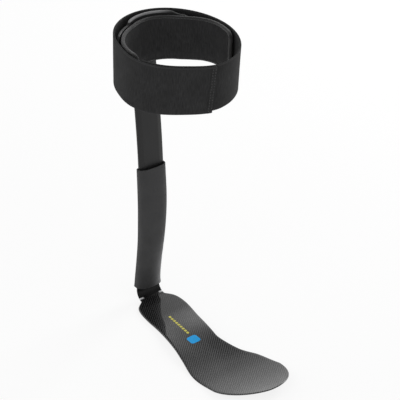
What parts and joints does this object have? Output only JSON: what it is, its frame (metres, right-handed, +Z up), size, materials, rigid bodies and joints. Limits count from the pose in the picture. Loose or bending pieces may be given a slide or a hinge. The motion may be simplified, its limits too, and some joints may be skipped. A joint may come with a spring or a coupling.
{
  "type": "ankle foot orthosis",
  "caption": "Ankle foot orthosis: a thin carbon sole plate that turns up at the heel into a posterior strut, with a padded strut sleeve and a wrap-around calf cuff.",
  "frame": {"origin": "centre of the heel's flat underside, on the floor", "axes": "+X towards the toes, +Y towards the wearer's left, which is the inner side of this right foot, +Z up along the strut"},
  "size_m": [0.2458, 0.1217, 0.3341],
  "materials": {
    "carbon_laminate": "glossy clear resin over a fine carbon weave",
    "strut_carbon": "satin black laminate",
    "neoprene": "matte dark grey knit over neoprene",
    "foam": "matte closed-cell foam",
    "shell_plastic": "glossy black moulding with a bright polished edge",
    "hook_tape": "black hook tape",
    "loop_cloth": "black brushed loop fabric",
    "lining_cloth": "black soft knit",
    "strap_elastic": "black loop-faced strap",
    "binding_tape": "dark grey sewn tape",
    "rivet_metal": "dark satin metal"
  },
  "bodies": {
    "foot": {"foot_plate": "carbon_laminate", "lower_spar": "strut_carbon", "sleeve_lower": "neoprene", "sleeve_seam_lower": "binding_tape", "tendon_pad_lower": "foam"},
    "toe": {"toe_plate": "carbon_laminate"},
    "calf": {"strut": "strut_carbon", "sleeve_upper": "neoprene", "sleeve_seam_upper": "binding_tape", "tendon_pad_upper": "foam", "calf_shell": "shell_plastic", "shell_rivet_1": "rivet_metal", "shell_rivet_2": "rivet_metal", "rivet_washer_1": "rivet_metal", "rivet_washer_2": "rivet_metal", "pad_hook_outer": "hook_tape", "pad_hook_inner": "hook_tape", "pad_loop_backing": "loop_cloth", "pad_foam": "foam", "pad_lining": "lining_cloth", "pad_binding_top": "binding_tape", "pad_binding_bottom": "binding_tape", "strap_hook_patch": "hook_tape", "strap_back": "strap_elastic"},
    "flap": {"strap_flap": "strap_elastic", "flap_end_hem": "binding_tape", "flap_hook_patch": "hook_tape"},
    "under_arm": {"strap_under": "strap_elastic", "under_end_hem": "binding_tape"}
  },
  "joints": [
    {"name": "ankle_flex", "type": "hinge", "parent": "foot", "child": "calf", "pos_m": [-0.02391, 0, 0.075], "axis": [0, 1, 0], "range_deg": [-6, 12], "stiffness_Nm_per_rad": 60},
    {"name": "toe_flex", "type": "hinge", "parent": "foot", "child": "toe", "pos_m": [0.127, 0, 0.0007], "axis": [0, -1, 0], "range_deg": [0, 25], "stiffness_Nm_per_rad": 4},
    {"name": "flap_open", "type": "hinge", "parent": "calf", "child": "flap", "pos_m": [0.00126, -0.05601, 0.2787], "axis": [-0.0116, -0.032, -0.9994], "range_deg": [0, 100]},
    {"name": "under_arm_open", "type": "hinge", "parent": "calf", "child": "under_arm", "pos_m": [0.00126, 0.05601, 0.2787], "axis": [0.0116, -0.032, 0.9994], "range_deg": [0, 66]}
  ],
  "couplings": [
    {"joint": "under_arm_open", "follows": "flap_open", "ratio": 0.65}
  ]
}
